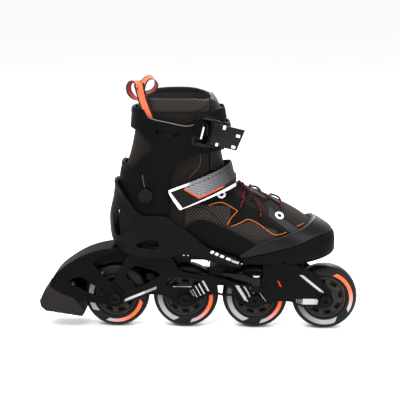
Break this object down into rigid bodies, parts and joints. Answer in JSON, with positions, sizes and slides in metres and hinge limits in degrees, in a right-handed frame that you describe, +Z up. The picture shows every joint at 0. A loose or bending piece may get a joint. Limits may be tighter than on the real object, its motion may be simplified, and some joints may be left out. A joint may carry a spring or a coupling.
{
  "type": "inline skate",
  "caption": "Child's size-adjustable recreational inline skate for the right foot, with in-line wheels, heel brake, hinged cuff, ladder buckle, instep strap and laced upper.",
  "frame": {"origin": "on the ground, midway along the skate's length and under the wheels' middle plane", "axes": "+X to the toe, +Y to the inner side of the right foot, +Z up"},
  "size_m": [0.3658, 0.1001, 0.2915],
  "materials": {
    "tyre": "satin",
    "wheel_core": "satin",
    "bearing_steel": "satin",
    "dark_steel": "satin",
    "black_plastic": "satin",
    "gloss_black_plastic": "gloss",
    "brake_rubber": "matt",
    "liner_fabric": "knitted mesh",
    "lining_black": "smooth",
    "toe_leather": "satin",
    "strap_silver": "woven",
    "lace_burgundy": "braided",
    "loop_orange": "woven"
  },
  "bodies": {
    "base": {"frame": "black_plastic", "brake_housing": "black_plastic", "brake_pad": "brake_rubber", "brake_pad_screw": "bearing_steel", "heel_shell": "black_plastic", "deck_bolt_rear": "bearing_steel", "deck_bolt_front": "bearing_steel", "toe_guide_screw": "bearing_steel", "side_guard_outer": "black_plastic", "side_guard_inner": "black_plastic", "size_lever_pin": "bearing_steel", "heel_liner": "liner_fabric", "forefoot_upper": "liner_fabric", "insole": "lining_black", "laces": "lace_burgundy", "instep_strap": "strap_silver", "strap_rivet": "dark_steel", "axle_bolt_1": "dark_steel", "axle_nut_1": "dark_steel", "axle_bolt_2": "dark_steel", "axle_nut_2": "dark_steel", "axle_bolt_3": "dark_steel", "axle_nut_3": "dark_steel", "axle_bolt_4": "dark_steel", "axle_nut_4": "dark_steel"},
    "wheel_1": {"tyre_1": "tyre", "wheel_core_1": "wheel_core", "bearing_outer_1": "bearing_steel", "bearing_inner_1": "bearing_steel", "bearing_spacer_1": "bearing_steel"},
    "wheel_2": {"tyre_2": "tyre", "wheel_core_2": "wheel_core", "bearing_outer_2": "bearing_steel", "bearing_inner_2": "bearing_steel", "bearing_spacer_2": "bearing_steel"},
    "wheel_3": {"tyre_3": "tyre", "wheel_core_3": "wheel_core", "bearing_outer_3": "bearing_steel", "bearing_inner_3": "bearing_steel", "bearing_spacer_3": "bearing_steel"},
    "wheel_4": {"tyre_4": "tyre", "wheel_core_4": "wheel_core", "bearing_outer_4": "bearing_steel", "bearing_inner_4": "bearing_steel", "bearing_spacer_4": "bearing_steel"},
    "cuff_group": {"cuff": "black_plastic", "cuff_rivet_outer": "dark_steel", "cuff_rivet_inner": "dark_steel", "ankle_liner": "liner_fabric", "tongue": "lining_black", "buckle_base": "gloss_black_plastic", "buckle_pin": "bearing_steel", "ladder_strap": "gloss_black_plastic", "ladder_rivet": "dark_steel", "pull_loop": "loop_orange"},
    "buckle_lever": {"buckle_lever": "gloss_black_plastic"},
    "toe_group": {"toe_shell": "black_plastic", "toe_rand": "toe_leather"},
    "size_lever": {"size_lever": "gloss_black_plastic"}
  },
  "joints": [
    {"name": "wheel_spin_1", "type": "hinge", "parent": "base", "child": "wheel_1", "pos_m": [-0.095, 0, 0.03782], "axis": [0, 1, 0], "continuous": true},
    {"name": "wheel_spin_2", "type": "hinge", "parent": "base", "child": "wheel_2", "pos_m": [-0.015, 0, 0.03782], "axis": [0, 1, 0], "continuous": true},
    {"name": "wheel_spin_3", "type": "hinge", "parent": "base", "child": "wheel_3", "pos_m": [0.065, 0, 0.03782], "axis": [0, 1, 0], "continuous": true},
    {"name": "wheel_spin_4", "type": "hinge", "parent": "base", "child": "wheel_4", "pos_m": [0.145, 0, 0.03782], "axis": [0, 1, 0], "continuous": true},
    {"name": "cuff_flex", "type": "hinge", "parent": "base", "child": "cuff_group", "pos_m": [-0.057, 0, 0.161], "axis": [0, 1, 0], "range_deg": [-4, 8]},
    {"name": "buckle_open", "type": "hinge", "parent": "cuff_group", "child": "buckle_lever", "pos_m": [0.0148, -0.04294, 0.23363], "axis": [-0.1954, -0.0711, -0.9781], "range_deg": [0, 100]},
    {"name": "toe_slide", "type": "slide", "parent": "base", "child": "toe_group", "axis": [1, 0, 0], "range_m": [0, 0.02]},
    {"name": "size_lever_swing", "type": "hinge", "parent": "base", "child": "size_lever", "pos_m": [0.066, -0.025, 0.0588], "axis": [0, 0, 1], "range_deg": [0, 80]}
  ]
}
